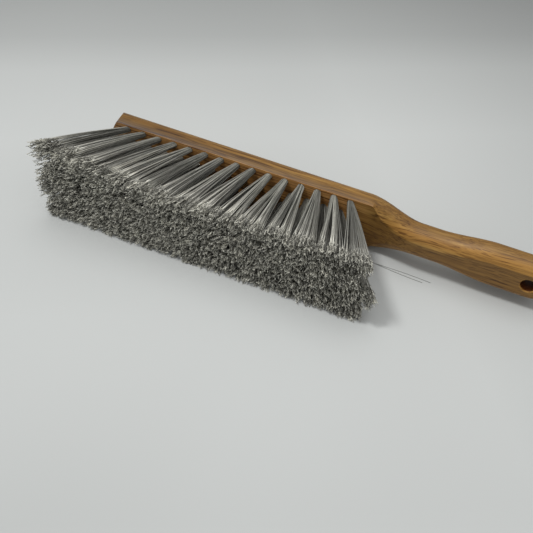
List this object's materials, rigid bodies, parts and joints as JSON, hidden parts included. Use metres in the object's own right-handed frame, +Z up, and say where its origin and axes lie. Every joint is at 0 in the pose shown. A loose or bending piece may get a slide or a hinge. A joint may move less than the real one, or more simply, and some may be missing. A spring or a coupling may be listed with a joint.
{
  "type": "bee brush",
  "caption": "Bench-style bee brush: straight wooden block and handle with a hanging hole, holding staggered rows of splayed grey synthetic bristle tufts",
  "frame": {"origin": "Centre of the bounding box at floor level; the brush lies on its side as in the picture, on the block's lower edge and its lower bristle tips", "axes": "+X runs along the brush to the handle's end, +Y is the side of the block's domed back with the bristles pointing to -Y and slightly up, +Z is up"},
  "size_m": [0.3918, 0.095, 0.0769],
  "materials": {
    "oiled_wood": "satin, open straight grain",
    "grey_filament": "matt, split tips",
    "anchor_wire": "bright drawn flat wire"
  },
  "bodies": {
    "root": {"wood_block_handle": "oiled_wood", "bristle_tufts": "grey_filament", "tuft_anchor_r1_01": "anchor_wire", "tuft_anchor_r1_02": "anchor_wire", "tuft_anchor_r1_03": "anchor_wire", "tuft_anchor_r1_04": "anchor_wire", "tuft_anchor_r1_05": "anchor_wire", "tuft_anchor_r1_06": "anchor_wire", "tuft_anchor_r1_07": "anchor_wire", "tuft_anchor_r1_08": "anchor_wire", "tuft_anchor_r1_09": "anchor_wire", "tuft_anchor_r1_10": "anchor_wire", "tuft_anchor_r1_11": "anchor_wire", "tuft_anchor_r1_12": "anchor_wire", "tuft_anchor_r1_13": "anchor_wire", "tuft_anchor_r1_14": "anchor_wire", "tuft_anchor_r1_15": "anchor_wire", "tuft_anchor_r2_01": "anchor_wire", "tuft_anchor_r2_02": "anchor_wire", "tuft_anchor_r2_03": "anchor_wire", "tuft_anchor_r2_04": "anchor_wire", "tuft_anchor_r2_05": "anchor_wire", "tuft_anchor_r2_06": "anchor_wire", "tuft_anchor_r2_07": "anchor_wire", "tuft_anchor_r2_08": "anchor_wire", "tuft_anchor_r2_09": "anchor_wire", "tuft_anchor_r2_10": "anchor_wire", "tuft_anchor_r2_11": "anchor_wire", "tuft_anchor_r2_12": "anchor_wire", "tuft_anchor_r2_13": "anchor_wire", "tuft_anchor_r2_14": "anchor_wire", "tuft_anchor_r3_01": "anchor_wire", "tuft_anchor_r3_02": "anchor_wire", "tuft_anchor_r3_03": "anchor_wire", "tuft_anchor_r3_04": "anchor_wire", "tuft_anchor_r3_05": "anchor_wire", "tuft_anchor_r3_06": "anchor_wire", "tuft_anchor_r3_07": "anchor_wire", "tuft_anchor_r3_08": "anchor_wire", "tuft_anchor_r3_09": "anchor_wire", "tuft_anchor_r3_10": "anchor_wire", "tuft_anchor_r3_11": "anchor_wire", "tuft_anchor_r3_12": "anchor_wire", "tuft_anchor_r3_13": "anchor_wire", "tuft_anchor_r3_14": "anchor_wire", "tuft_anchor_r3_15": "anchor_wire", "tuft_anchor_r4_01": "anchor_wire", "tuft_anchor_r4_02": "anchor_wire", "tuft_anchor_r4_03": "anchor_wire", "tuft_anchor_r4_04": "anchor_wire", "tuft_anchor_r4_05": "anchor_wire", "tuft_anchor_r4_06": "anchor_wire", "tuft_anchor_r4_07": "anchor_wire", "tuft_anchor_r4_08": "anchor_wire", "tuft_anchor_r4_09": "anchor_wire", "tuft_anchor_r4_10": "anchor_wire", "tuft_anchor_r4_11": "anchor_wire", "tuft_anchor_r4_12": "anchor_wire", "tuft_anchor_r4_13": "anchor_wire", "tuft_anchor_r4_14": "anchor_wire"}
  },
  "joints": []
}
